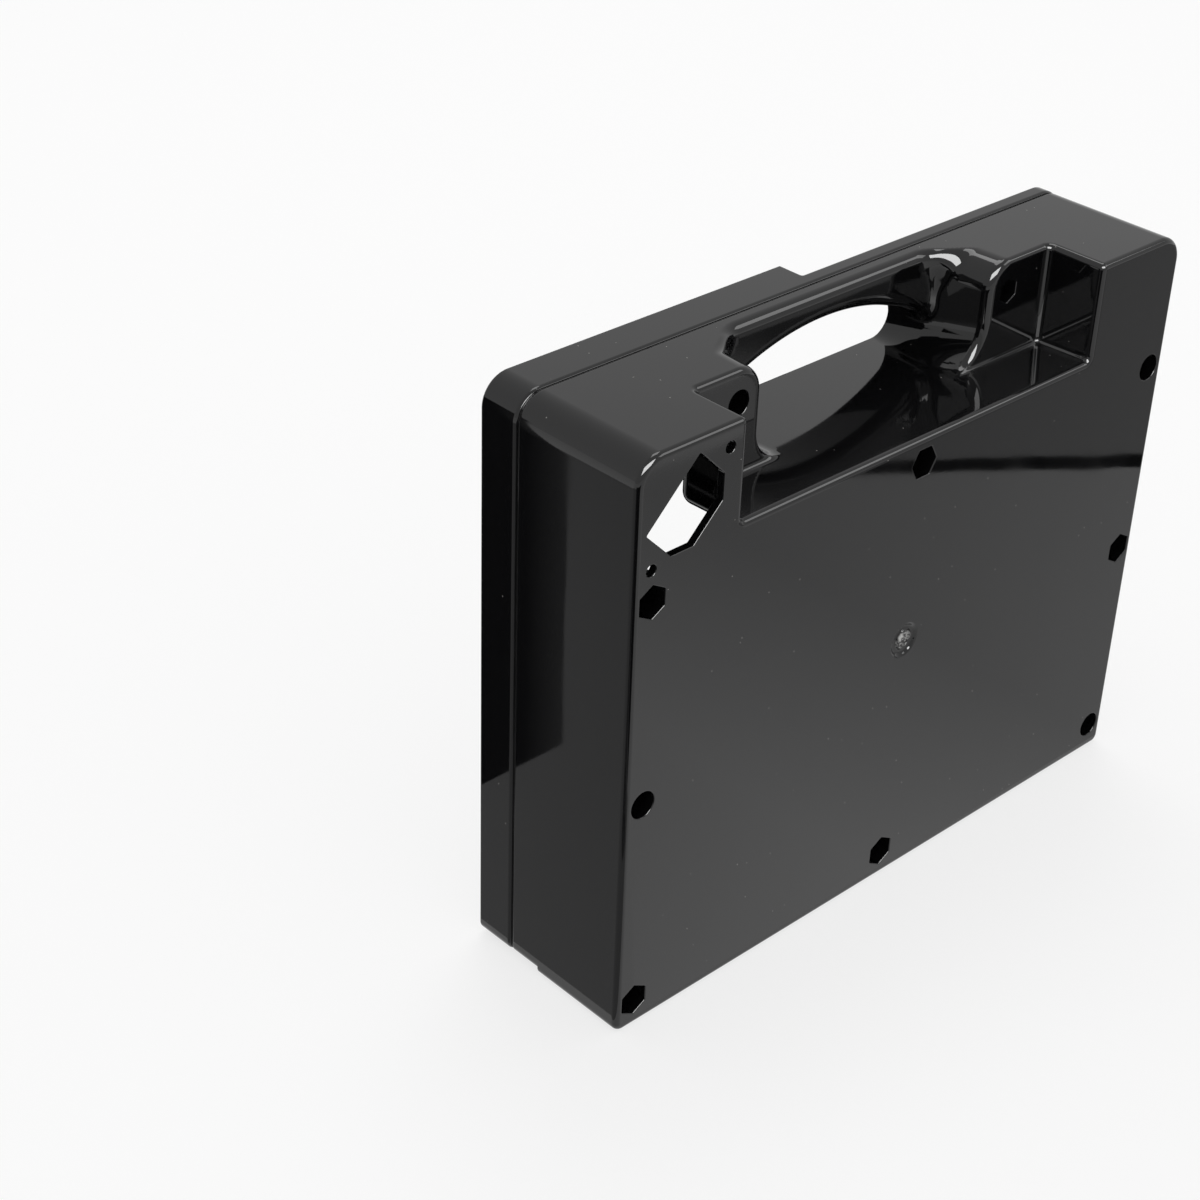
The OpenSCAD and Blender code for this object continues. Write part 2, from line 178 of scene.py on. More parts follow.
def shell_solid(x, y, z):
    """Distance to the whole half shell without its bores: walls, jacket of the handle, posts, webs, ledge."""
    solid = handle_solid(x, y, z)
    recess, hollow, floor = handle_spaces(x, y, z)
    outline = case_outline(x, z)
    inner = rectangle(x, z, INNER_W, INNER_LOW, INNER_TOP, ROOM_LOW_R, TOP_R - WALL)
    room = rounded_and(inner, INNER_Y - y, ROOM_R)
    rim_end = rounded_or(y - SHORT_END, rounded_and(y - LONG_END, x, RIM_R), RIM_R)
    body = rounded_and(-room, rim_end, RIM_R)
    inside = outline + WALL / 2
    near = np.maximum(-solid - WALL, np.maximum(y - JACKET_Y, inside))
    spaces = np.minimum(recess, hollow)
    spaces = spaces + ease(-floor / FLOOR_FADE) * (rounded_or(recess, hollow, EDGE_R) - spaces)
    tunnel = np.maximum(rounded_and(spaces - WALL, y - SPLIT, JACKET_R), inside)
    body = np.minimum(rounded_or(body, tunnel, 1.0), near)
    posts = np.full(x.shape, FAR)
    for px, pz in [n[:2] for n in NUTS] + list(HEADS):
        posts = np.minimum(posts, post(x, y, z, px, pz, SLEEVE_Y))
    for s in (-1, 1):
        posts = np.minimum(posts, post(x, y, z, s * LOBE_X, LOBE_Z, LOBE_SLEEVE_Y))
    for pz in (SCREW_LOW, SCREW_MID, SCREW_HIGH):
        web = np.abs(np.abs(z - pz) - WEB_OFF) - WEB_HALF
        web = rounded_and(web, y - SHORT_END, WEB_R)
        posts = np.minimum(posts, np.maximum(web, SCREW_X - np.abs(x)))
    body = rounded_or(body, np.maximum(posts, inside), RIM_R)
    start, end, high = LEDGE
    ledge = rounded_and(-high - inner, np.abs(y - (start + end) / 2) - (end - start) / 2, LEDGE_R)
    ledge = np.maximum(np.maximum(ledge, inside), -x)
    body = rounded_or(body, ledge, LEDGE_R)
    return rounded_and(rounded_and(solid, body, JACKET_R), outline, np.where(y > SEAM_Y - 2, OUTER_R, 0))


def lines(start, *runs):
    """Grid lines from start on: each run is an end and a wanted step."""
    found = [np.array([start])]
    for end, step in runs:
        n = max(1, round((end - found[-1][-1]) / step))
        found.append(np.linspace(found[-1][-1], end, n + 1)[1:])
    return np.concatenate(found)


def surface_net(f, axes):
    """One point in each grid cell that the surface passes, the mean of its crossings of the cell's edges, and
    one four-sided face round each grid edge that it crosses."""
    inside = f < 0
    cells = np.zeros([n - 1 for n in f.shape], np.int8)
    corners = [(a, b, c) for a in (0, 1) for b in (0, 1) for c in (0, 1)]
    for a, b, c in corners:
        cells += inside[a:a + cells.shape[0], b:b + cells.shape[1], c:c + cells.shape[2]]
    active = (cells > 0) & (cells < 8)
    number = np.full(cells.shape, -1, np.int64)
    number[active] = np.arange(active.sum())
    where = np.nonzero(active)
    total = np.zeros((len(where[0]), 3))
    count = np.zeros(len(where[0]))
    for axis in range(3):
        for corner in corners:
            if corner[axis]:
                continue
            low = [w + c for w, c in zip(where, corner)]
            high = list(low)
            high[axis] = low[axis] + 1
            fa, fb = f[tuple(low)], f[tuple(high)]
            cross = (fa < 0) != (fb < 0)
            t = np.where(cross, fa / np.where(cross, fa - fb, 1), 0)
            p = np.stack([axes[k][low[k]] for k in range(3)], 1)
            p[:, axis] += t * (axes[axis][high[axis]] - axes[axis][low[axis]])
            total += np.where(cross[:, None], p, 0)
            count += cross
    points = total / count[:, None]
    faces = []
    for axis in range(3):
        u, v = (axis + 1) % 3, (axis + 2) % 3
        n = list(f.shape)
        cut = [slice(1, n[k] - 1) for k in range(3)]
        cut[axis] = slice(0, n[axis] - 1)
        nxt = list(cut)
        nxt[axis] = slice(1, n[axis])
        edge = np.stack(np.nonzero(inside[tuple(cut)] != inside[tuple(nxt)]), 1)
        edge[:, u] += 1
        edge[:, v] += 1
        ring = []
        for du, dv in ((-1, -1), (0, -1), (0, 0), (-1, 0)):
            c = edge.copy()
            c[:, u] += du
            c[:, v] += dv
            ring.append(number[tuple(c.T)])
        faces.append(np.stack(ring, 1))
    return points, np.concatenate(faces)


def slope(field, p, h=2e-3):
    """Gradient of the field at the points, by central differences."""
    g = np.empty_like(p)
    for k in range(3):
        step = np.zeros(3)
        step[k] = h
        g[:, k] = (field(*(p + step).T) - field(*(p - step).T)) / (2 * h)
    return g


def settle(field, p, rounds=4, reach=0.45):
    """Moves the points onto the surface where the field is zero, along its gradient."""
    for _ in range(rounds):
        g = slope(field, p)
        move = g * (field(*p.T) / np.maximum((g * g).sum(1), 0.05))[:, None]
        size = np.linalg.norm(move, axis=1, keepdims=True)
        p = p - move * np.minimum(1, reach / np.maximum(size, 1e-9))
    return p


def add(points, faces, normals):
    """Keeps triangles with their corner normals: normals holds one for each point, or three for each
    triangle. A triangle is turned to agree with them, and one with no area goes."""
    faces = np.asarray(faces)
    if faces.shape[1] == 4:
        faces = np.concatenate([faces[:, [0, 1, 2]], faces[:, [0, 2, 3]]])
    corner = normals[faces] if normals.ndim == 2 else normals
    p = points[faces]
    n = np.cross(p[:, 1] - p[:, 0], p[:, 2] - p[:, 0])
    keep = np.linalg.norm(n, axis=1) > 1e-7
    turn = (n * corner.sum(1)).sum(1) < 0
    p[turn] = p[turn][:, ::-1]
    corner[turn] = corner[turn][:, ::-1]
    parts.append((p[keep], corner[keep]))


def profile(points, radii, side, n=4):
    """Line through points (y, outward), its inner corners turned into arcs. Returns points and normals; side
    tells on which side of the line the air is. A corner without radius comes twice, with both normals."""
    pts, nrm = [], []
    p = np.asarray(points, float)
    d = np.diff(p, axis=0)
    d /= np.linalg.norm(d, axis=1)[:, None]
    left = np.stack([-d[:, 1], d[:, 0]], 1) * side
    for i, q in enumerate(p):
        if i == 0 or i == len(p) - 1 or radii[i] == 0:
            for k in {max(i - 1, 0), min(i, len(d) - 1)}:
                pts.append(q)
                nrm.append(left[k])
            continue
        a, b, r = d[i - 1], d[i], radii[i]
        turn = np.arctan2(a[0] * b[1] - a[1] * b[0], a @ b)
        back = r * np.tan(abs(turn) / 2)
        centre = q - a * back + np.array([-a[1], a[0]]) * r * np.sign(turn)
        for t in np.linspace(0, 1, n + 1):
            c, s = np.cos(turn * t), np.sin(turn * t)
            u, v = left[i - 1]
            normal = np.array([u * c - v * s, u * s + v * c])
            pts.append(centre + normal * r * side * -np.sign(turn))
            nrm.append(normal)
    return np.array(pts), np.array(nrm)


def carry(path, line, closed=True):
    """Profile carried round a path: point = centre + (radius + outward) times the direction, at depth y."""
    centre, radius, angle = path
    pts, nrm = line
    direction = np.stack([np.cos(angle), np.sin(angle)], 1)
    out = centre[None] + (radius[None] + pts[:, 1][:, None])[..., None] * direction[None]
    p = np.stack([out[..., 0], np.broadcast_to(pts[:, :1], out.shape[:2]), out[..., 1]], -1)
    nd = nrm[:, 1][:, None, None] * direction[None]
    n = np.stack([nd[..., 0], np.broadcast_to(nrm[:, :1], out.shape[:2]), nd[..., 1]], -1)
    grid(p, n, closed)
    return p, n


def grid(p, n, closed):
    """Adds the faces of a grid of points with their normals."""
    rows, cols = p.shape[:2]
    k = np.arange(rows * cols).reshape(rows, cols)
    if closed:
        k = np.concatenate([k, k[:, :1]], 1)
    faces = np.stack([k[:-1, :-1], k[:-1, 1:], k[1:, 1:], k[1:, :-1]], -1).reshape(-1, 4)
    add(p.reshape(-1, 3), faces, n.reshape(-1, 3))


def polygon(points, r, n=4):
    """Path round a convex polygon with rounded corners, against the clock."""
    p = np.asarray(points, float)
    centre, angle = [], []
    for i, q in enumerate(p):
        a, b = q - p[i - 1], p[(i + 1) % len(p)] - q
        from_, to = np.arctan2(-a[0], a[1]), np.arctan2(-b[0], b[1])
        turn = (to - from_) % (2 * np.pi)
        half = from_ + turn / 2
        c = q - np.array([np.cos(half), np.sin(half)]) * r / np.cos(turn / 2)
        for t in np.linspace(0, 1, n + 1):
            centre.append(c)
            angle.append(from_ + turn * t)
    return np.array(centre), np.full(len(angle), r), np.array(angle)


def circle(x, z, r, n=40):
    """Path round a circle."""
    return np.tile((x, z), (n, 1)), np.full(n, r), np.arange(n) * 2 * np.pi / n


def hexagon(x, z, width, turn):
    """Path round a hexagon with a given width across its flats; turned 90 its first corner is above."""
    a = np.radians(np.arange(6) * 60.0 + turn)
    corners = np.stack([x + width / np.sqrt(3) * np.cos(a), z + width / np.sqrt(3) * np.sin(a)], 1)
    return polygon(corners, NUT_CORNER_R)


def case_path(rear):
    """Path round the case, from the right end of the handle's run over the sides and the bottom to the left
    end. The rear part stands higher off the ground."""
    low = LOW_Z + LOW_R + (REAR_UP if rear else 0)
    runs = [((SWEEP_X, HEIGHT - TOP_R), TOP_R, (90, 90), 0)]
    runs.append(((HALF_W - TOP_R, HEIGHT - TOP_R), TOP_R, (90, 0), 18))
    shared = LOW_Z + LOW_R + REAR_UP
    runs.append(((HALF_W - LOW_R, shared), LOW_R, (0, 0), 0))
    runs.append(((HALF_W - LOW_R, low), LOW_R, (0, -90), 12))
    runs.append(((-HALF_W + LOW_R, low), LOW_R, (-90, -180), 12))
    runs.append(((-HALF_W + LOW_R, shared), LOW_R, (180, 180), 0))
    runs.append(((-HALF_W + TOP_R, HEIGHT - TOP_R), TOP_R, (180, 90), 18))
    runs.append(((-SWEEP_X, HEIGHT - TOP_R), TOP_R, (90, 90), 0))
    centre, radius, angle = [], [], []
    for c, r, (a, b), n in runs:
        for t in np.linspace(a, b, n + 1):
            centre.append(c)
            radius.append(r)
            angle.append(np.radians(t))
    return np.array(centre, float), np.array(radius, float), np.array(angle)


def zip_strip(a, b, key_a, key_b, na, nb):
    """Triangles between two lines of points, taken in the order of their keys."""
    oa, ob = np.argsort(key_a), np.argsort(key_b)
    a, na, key_a = a[oa], na[oa], key_a[oa]
    b, nb, key_b = b[ob], nb[ob], key_b[ob]
    keys = np.concatenate([key_a[1:], key_b[1:]])
    first = np.concatenate([np.ones(len(a) - 1, bool), np.zeros(len(b) - 1, bool)])
    order = np.argsort(keys, kind="stable")
    first = first[order]
    i = np.concatenate([[0], np.cumsum(first)[:-1]])
    j = np.concatenate([[0], np.cumsum(~first)[:-1]])
    third = np.where(first, i + 1, len(a) + j + 1)
    add(np.concatenate([a, b]), np.stack([i, len(a) + j, third], 1), np.concatenate([na, nb]))


def weld():
    """All parts as one list of points, triangles and corner normals; points nearer than a micron are one."""
    p = np.concatenate([a for a, _ in parts]).reshape(-1, 3)
    normals = np.concatenate([b for _, b in parts])
    key = np.floor(p / 0.00137 + 0.317).astype(np.int64)
    _, first, index = np.unique(key, axis=0, return_index=True, return_inverse=True)
    tri = index.reshape(-1, 3)
    good = (tri[:, 0] != tri[:, 1]) & (tri[:, 1] != tri[:, 2]) & (tri[:, 0] != tri[:, 2])
    return p[first], tri[good], normals[good]


def open_edges(tri, n):
    """Edges that only one triangle has."""
    e = np.concatenate([tri[:, [0, 1]], tri[:, [1, 2]], tri[:, [2, 0]]])
    key = e.min(1) * n + e.max(1)
    _, first, count = np.unique(key, return_index=True, return_counts=True)
    return e[first[count == 1]]


def fill_plane(points, edges, axis, value, normal):
    """Fills the loops of open edges that lie in a plane with triangles: inside is where a line to the edge of
    the plane crosses the loops an odd number of times."""
    on = np.abs(off_plane(points[edges], axis, value)).max(1) < 3e-4
    e = edges[on]
    if len(e) < 3:
        return
    used, index = np.unique(e, return_inverse=True)
    index = index.reshape(-1, 2)
    u, v = [k for k in range(3) if k != axis]
    flat = points[used][:, [u, v]]
    _, _, found, origin, _, _ = delaunay_2d_cdt([Vector(q) for q in flat], index.tolist(), [], 0, 1e-6)
    source = np.array([o[0] if o else -1 for o in origin])
    if not found:
        return
    tri = source[np.array(found)]
    tri = tri[(tri >= 0).all(1)]
    c = flat[tri].mean(1)
    s, t = flat[index[:, 0]], flat[index[:, 1]]
    odd = np.zeros(len(c), bool)
    for at in range(0, len(c), 2000):
        q = c[at:at + 2000, None]
        across = (s[None, :, 1] > q[..., 1]) != (t[None, :, 1] > q[..., 1])
        rise = np.where(across, t[None, :, 1] - s[None, :, 1], 1)
        x = s[None, :, 0] + (q[..., 1] - s[None, :, 1]) / rise * (t - s)[None, :, 0]
        odd[at:at + 2000] = (across & (x > q[..., 0])).sum(1) % 2 == 1
    tri = used[tri[odd]]
    p = points[tri]
    n = np.zeros((len(tri), 3, 3))
    n[:, :, axis] = normal
    if callable(value):
        n[:, :, 1] = normal * FLOOR_FALL / (SPLIT - FACE)
        n /= np.linalg.norm(n, axis=-1, keepdims=True)
    add(points, tri, n)


def floor_plane(drop):
    """Height of the sloping floor of the recess, or of its underside, over a point."""
    return lambda p: FLOOR_Z - FLOOR_FALL * (p[..., 1] - FACE) / (SPLIT - FACE) - drop


# Flat faces: the axis that they are across, their place on it, and the way they look
PLANES = (
    (1, FACE, -1), (1, RECESS_Y, -1), (2, BODY_TOP, 1), (1, INNER_Y, 1), (0, INNER_W, -1), (0, -INNER_W, 1),
    (2, INNER_TOP, -1), (2, INNER_LOW, 1), (1, LONG_END, 1), (1, SHORT_END, 1), (1, SPLIT, 1), (0, HALF_W, 1),
    (0, -HALF_W, -1), (2, HEIGHT, 1), (2, LOW_Z + REAR_UP, -1), (1, POCKET_Y, -1), (1, LOBE_POCKET_Y, -1),
    (0, RECESS_X, -1), (0, -RECESS_X, 1), (0, RECESS_X + WALL, 1), (0, -RECESS_X - WALL, -1),
    (1, RECESS_Y + WALL, 1), (1, GRIP_Y, -1), (1, GRIP_Y + WALL, 1), (2, floor_plane(0), 1),
    (2, floor_plane(WALL), -1),
)


def off_plane(p, axis, value):
    """How far points lie from a plane, along its axis."""
    return p[..., axis] - (value(p) if callable(value) else value)


def inside_and_handle():
    """The handle and the whole inside, from the field of the shell. Points near a flat face go onto it, and
    what the sweeps and the flat faces cover is left out."""
    half, y, z = lines(*GRID_X), lines(*GRID_Y), lines(*GRID_Z)
    x = np.concatenate([-half[::-1], half])
    f = shell_solid(*np.meshgrid(x, y, z, indexing="ij"))
    points, faces = surface_net(f, (x, y, z))
    points = settle(shell_solid, points)
    normals = slope(shell_solid, points)
    normals /= np.maximum(np.linalg.norm(normals, axis=1, keepdims=True), 1e-9)
    for axis, value, _ in PLANES:
        away = off_plane(points, axis, value)
        on = (np.abs(away) < 2e-4) & (np.abs(normals[:, axis]) > 0.998)
        points[on, axis] -= away[on]
    c = points[faces].mean(1)
    outer = (case_outline(c[:, 0], c[:, 2]) > -1.2) | (c[:, 1] < FACE + WALL / 2)
    zone = (np.abs(c[:, 0]) < SEAM_X) & (c[:, 2] > HANDLE_Z) & (c[:, 1] < JACKET_Y)
    keep = ~(outer & ~zone & (c[:, 1] < SEAM_Y))
    for axis, value, _ in PLANES:
        keep &= ~(np.abs(off_plane(points[faces], axis, value)).max(1) < 1e-9)
    faces = faces[keep]
    add(points, faces, normals)
    tri = np.concatenate([faces[:, [0, 1, 2]], faces[:, [0, 2, 3]]])
    return points, normals, open_edges(tri, len(points))


def case_sides():
    """Front rounding, sides, foot step, groove and band as profiles round the case; returns the seam rows."""
    front, rear = case_path(False), case_path(True)
    # The line starts inside the face so that its corner can be rounded; that first point is then left out
    edge = profile([(FACE, -8), (FACE, -PROUD), (FOOT_Y, -PROUD)], (0, EDGE_R, 0), 1, 8)
    face = carry(front, (edge[0][1:], edge[1][1:]), False)
    y0, y1, deep = GROOVE
    start = y0 - 1.1
    line = [(start, -PROUD), (y0 - 0.6, -PROUD), (y0, -0.75), (y0, -deep)]
    line += [(y1, -deep), (y1, -0.42), (y1 + 0.9, 0), (BAND_Y, 0)]
    groove = profile(line, (0, 1.0, 0.3, 0.05, 0.12, 0.4, 1.5, 0), 1, 3)
    body = profile([(FOOT_Y, -PROUD), (start, -PROUD)], (0, 0), 1)
    carry(rear, body, False)
    band = carry(rear, groove, True)
    step = np.stack([face[0][-1], carry_row(rear, FOOT_Y, -PROUD)])
    up = np.zeros_like(step)
    up[..., 1] = 1
    grid(step, up, False)
    return face, band


def carry_row(path, y, outward):
    """One row of points round a path."""
    centre, radius, angle = path
    p = centre + (radius + outward)[:, None] * np.stack([np.cos(angle), np.sin(angle)], 1)
    return np.stack([p[:, 0], np.full(len(p), y), p[:, 1]], 1)


def round_edge(p):
    """Angle of points round the middle of the case's front rounding at the top."""
    return np.arctan2(p[:, 2] - (BODY_TOP - EDGE_R), FACE + EDGE_R - p[:, 1])


def round_corner(p, sx, low):
    """Angle of points round the middle of one of the four corners, from the side up or down."""
    cx = sx * (HALF_W - (LOW_R if low else TOP_R))
    cz = LOW_Z + REAR_UP + LOW_R if low else HEIGHT - TOP_R
    return np.arctan2((p[:, 2] - cz) * (-1 if low else 1), (p[:, 0] - cx) * sx)


def at_corner(p, sx, low):
    """Which points lie at one of the four corners."""
    return (p[:, 0] * sx > 90) & ((p[:, 2] < 60) == low)


def seams(points, normals, edges, face, band):
    """Strips between the swept case and the field's mesh: beside the handle and round the four corners."""
    for s in (-1, 1):
        ends = np.unique(edges)
        far = points[ends, 0] * s
        ends = ends[(far > SEAM_X - 4) & (points[ends, 1] < INNER_Y) & (points[ends, 2] > INNER_TOP)]
        ends = ends[points[ends, 0] * s > (points[ends, 0] * s).max() - 0.02]
        a = points[ends]
        col = 0 if s > 0 else -1
        b, nb = face[0][:-1, col], face[1][:-1, col]
        zip_strip(a, b, round_edge(a), round_edge(b), normals[ends], nb)
    rim = np.unique(edges)
    rim = rim[(case_outline(points[rim, 0], points[rim, 2]) > -0.2) & (points[rim, 1] > BAND_Y)]
    ends = rim[points[rim, 1] < points[rim, 1].min() + 0.02]
    row, rn = band[0][-1], band[1][-1]
    for sx in (-1, 1):
        for low in (False, True):
            mine = ends[at_corner(points[ends], sx, low)]
            turn = round_corner(row, sx, low)
            arc = at_corner(row, sx, low) & (turn > -1e-6) & (turn < np.pi / 2 + 1e-6)
            arc &= np.abs(np.abs(row[:, 0]) - SWEEP_X) > 0.1
            zip_strip(points[mine], row[arc], round_corner(points[mine], sx, low), turn[arc], normals[mine],
                      rn[arc])


def holes():
    """Nut and head pockets with their bores, and the inlet's opening with its two screw holes."""
    def pocket(path, mouth, bottom):
        line = profile([(mouth, 3), (mouth, 0), (bottom, 0), (bottom, -1.5)], (0, 0.35, 0.25, 0), -1)
        carry(path, (line[0][1:-1], line[1][1:-1]))

    def bore(x, z, start):
        line = profile([(start, 1), (start, 0), (SPLIT, 0), (SPLIT, 1)], (0, 0.2, 0.3, 0), -1)
        carry(circle(x, z, BORE_R, 28), (line[0][1:-1], line[1][1:-1]))

    for x, z, turn in NUTS:
        pocket(hexagon(x, z, NUT_W, turn), FACE, POCKET_Y)
        bore(x, z, POCKET_Y)
    for x, z in HEADS:
        pocket(circle(x, z, HEAD_R), FACE, POCKET_Y)
        bore(x, z, POCKET_Y)
    pocket(circle(-LOBE_X, LOBE_Z, LOBE_HEAD_R), RECESS_Y, LOBE_POCKET_Y)
    pocket(hexagon(LOBE_X, LOBE_Z, LOBE_NUT_W, 90), RECESS_Y, LOBE_POCKET_Y)
    for s in (-1, 1):
        bore(s * LOBE_X, LOBE_Z, LOBE_POCKET_Y)
    x, z, w, h, cut, reach, r, turn = INLET
    through = profile([(FACE, 3), (FACE, 0), (INNER_Y, 0), (INNER_Y, 3)], (0, 0.35, 0.12, 0), -1)
    through = (through[0][1:-1], through[1][1:-1])
    w, h = w / 2, h / 2
    shape = np.array([(-w, -h + cut), (-w + cut, -h), (w - cut, -h), (w, -h + cut), (w, h), (-w, h)])
    c, s = np.cos(np.radians(turn)), np.sin(np.radians(turn))
    shape = shape @ np.array([(c, s), (-s, c)]) + (x, z)
    carry(polygon(shape, 0.6), through)
    for k in (-1, 1):
        carry(circle(x + k * reach * c, z + k * reach * s, r, 28), through)


def gate_mark():
    """Shallow round recess with the torn stub of the gate: height over radius and angle, a ring wall whose
    height and radius wander round the circle. Each depth is a sum of smooth steps over the radius, and each
    wander a sum of sines of the angle."""
    x, z, r = GATE
    steps, rings, lip = 72, 28, 0.4
    lip_rings = r + lip * np.cos(np.radians([20, 40, 60, 80, 90]))
    rho = np.concatenate([[r + lip], lip_rings, np.linspace(r - lip, 0.05, rings)])
    a = np.arange(steps) * 2 * np.pi / steps
    rr, aa = np.meshgrid(rho, a, indexing="ij")
    wander = 2.9 + 0.25 * np.sin(aa + 0.6) + 0.15 * np.sin(3 * aa + 1.1) + 0.08 * np.sin(7 * aa + 2.0)
    torn = 0.75 + 0.2 * np.sin(2 * aa + 0.4) + 0.15 * np.sin(5 * aa) + 0.1 * np.sin(11 * aa + 1.7)
    gully = 1.0 * ease((r - rr) / 1.5)
    stub = np.clip(torn, 0.3, 1) * ease((wander + 0.9 - rr) / 0.9)
    crater = 0.7 * ease((wander - 0.1 - rr) / (0.9 + 0.8 * np.maximum(0, np.cos(aa - 2.2))))
    inner = 0.45 * np.exp(-((rr - 1.15 - 0.15 * np.sin(3 * aa)) / 0.28) ** 2)
    y = FACE + gully * (1 - stub * (1 - crater) - inner)
    y[0] = FACE
    px, pz = x + rr * np.cos(aa), z + rr * np.sin(aa)
    p = np.stack([px, y, pz], -1)
    closed = np.concatenate([p, p[:, :1]], 1)
    wide = np.concatenate([p[:, -1:], closed], 1)
    da = wide[:, 2:] - wide[:, :-2]
    dr = np.gradient(p, axis=0)
    n = np.cross(da, dr)
    n *= np.where(n[..., 1:2] > 0, -1, 1)
    n /= np.linalg.norm(n, axis=-1, keepdims=True)
    n[0] = (0, -1, 0)
    grid(p, n, True)
    tip = np.array([[x, y[-1].mean(), z]])
    last = np.concatenate([p[-1], tip])
    k = np.arange(steps)
    faces = np.stack([k, (k + 1) % steps, np.full(steps, steps)], 1)
    add(last, faces, np.concatenate([n[-1], [(0, -1, 0)]]))


def housing():
    """The whole piece: parts, seams, then the flat faces between the open edges of each plane."""
    points, normals, edges = inside_and_handle()
    face, band = case_sides()
    seams(points, normals, edges, face, band)
    holes()
    gate_mark()
    p, tri, _ = weld()
    edges = open_edges(tri, len(p))
    for axis, value, normal in PLANES:
        fill_plane(p, edges, axis, value, normal)
    p, tri, n = weld()
    mesh = bpy.data.meshes.new("housing_half_moulded")
    mesh.from_pydata((p * 0.001).tolist(), [], tri.tolist())
    mesh.polygons.foreach_set("use_smooth", np.ones(len(tri), bool))
    mesh.normals_split_custom_set(n.reshape(-1, 3).tolist())
    mesh.update()
    piece = bpy.data.objects.new("housing_half_moulded", mesh)
    bpy.context.scene.collection.objects.link(piece)
    return piece


def linear(hex_colour):
    """sRGB hex colour as linear RGBA."""
    v = [int(hex_colour[k:k + 2], 16) / 255 for k in (1, 3, 5)]
    return [c / 12.92 if c <= 0.04045 else ((c + 0.055) / 1.055) ** 2.4 for c in v] + [1.0]


def node(tree, kind, settings=None, **links):
    """Adds a node with its settings. A link goes to an input by name, or by number after a low line, and a
    plain value is set there."""
    made = tree.nodes.new(kind)
    for key, value in (settings or {}).items():
        setattr(made, key, value)
    for key, value in links.items():
        numbered = key[0] == "_" and key[1:].isdigit()
        socket = made.inputs[int(key[1:]) if numbered else key.replace("_", " ")]
        if isinstance(value, bpy.types.NodeSocket):
            tree.links.new(value, socket)
        else:
            socket.default_value = value
    return made


def calc(tree, operation, a, b):
    """Result of one operation on two values or sockets."""
    return node(tree, "ShaderNodeMath", {"operation": operation}, _0=a, _1=b).outputs["Value"]


def ramp(tree, value, low, high, start, end):
    """Value that passes from start to end while the given one passes from low to high."""
    made = node(tree, "ShaderNodeMapRange", Value=value, From_Min=low, From_Max=high, To_Min=start,
                To_Max=end)
    return made.outputs["Result"]


